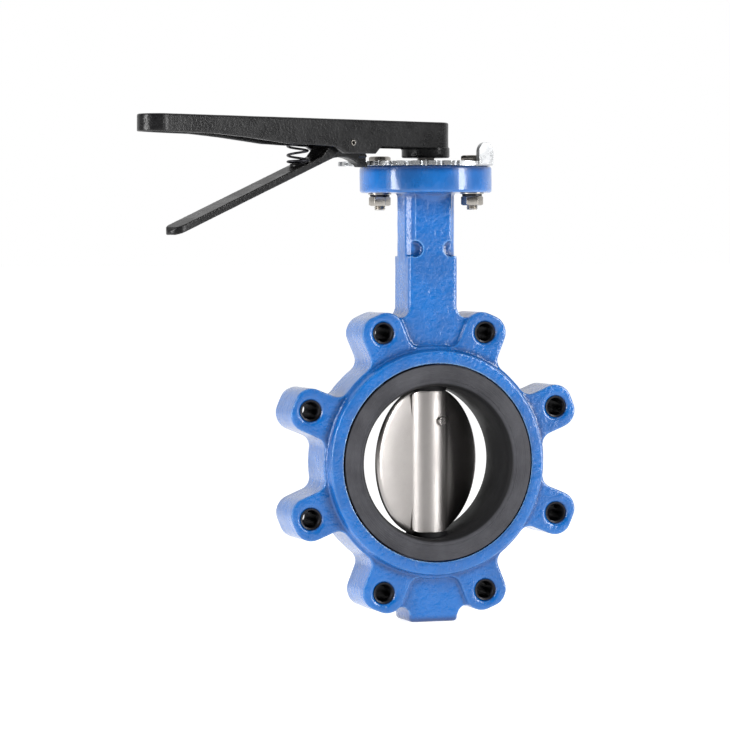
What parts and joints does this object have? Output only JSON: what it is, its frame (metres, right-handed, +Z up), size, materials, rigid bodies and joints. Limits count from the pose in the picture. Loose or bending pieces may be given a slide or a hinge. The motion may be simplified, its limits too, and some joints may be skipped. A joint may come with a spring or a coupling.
{
  "type": "butterfly valve",
  "caption": "Lug-type, rubber-lined butterfly valve for a flanged pipe: round body, square neck, quarter-turn disc and a notched squeeze-trigger lever.",
  "frame": {"origin": "centre of the bore, on the stem axis", "axes": "+Z up the stem towards the lever, pipe along Y with the front face towards -Y, +X to the right seen from the front"},
  "size_m": [0.3378, 0.1863, 0.3398],
  "materials": {
    "blue_epoxy": "gloss blue epoxy over a sand casting",
    "seat_rubber": "satin moulded rubber",
    "seal_rubber": "satin rubber",
    "bearing_bronze": "turned bronze",
    "disc_stainless": "blasted stainless casting with a polished rim",
    "stem_steel": "ground stainless",
    "zinc_plate": "bright zinc-plated sheet",
    "zinc_steel": "zinc-plated fastener",
    "black_oxide": "black oxide",
    "black_coat": "semi-gloss black coating over a casting"
  },
  "bodies": {
    "valve": {"valve_body": "blue_epoxy", "seat_liner": "seat_rubber", "neck_bushing": "bearing_bronze", "upper_bushing": "bearing_bronze", "lower_bushing": "bearing_bronze", "stem_orings": "seal_rubber", "weather_seal": "seal_rubber", "thrust_washer": "zinc_steel", "bottom_plug": "zinc_steel", "plug_seal": "seal_rubber", "index_plate": "zinc_plate", "plate_bolts": "zinc_steel", "plate_nuts": "zinc_steel", "plate_washers": "zinc_steel", "plate_spring_washers": "black_oxide"},
    "stem_and_lever": {"stem": "stem_steel", "disc": "disc_stainless", "taper_pin": "stem_steel", "stem_circlip": "black_oxide", "lever_handle": "black_coat", "lever_washer": "zinc_steel", "lever_screw": "zinc_steel", "trigger_pivot_pin": "zinc_steel", "trigger_spring": "black_oxide"},
    "trigger": {"trigger": "black_coat"}
  },
  "joints": [
    {"name": "quarter_turn", "type": "hinge", "parent": "valve", "child": "stem_and_lever", "pos_m": [0, 0, 0], "axis": [0, 0, 1], "range_deg": [-30, 60]},
    {"name": "trigger_squeeze", "type": "hinge", "parent": "stem_and_lever", "child": "trigger", "pos_m": [-0.07734, -0.04465, 0.2154], "axis": [-0.5, 0.866, 0], "range_deg": [-8, 14], "stiffness_Nm_per_rad": 5, "deforming": ["trigger_spring"]}
  ]
}
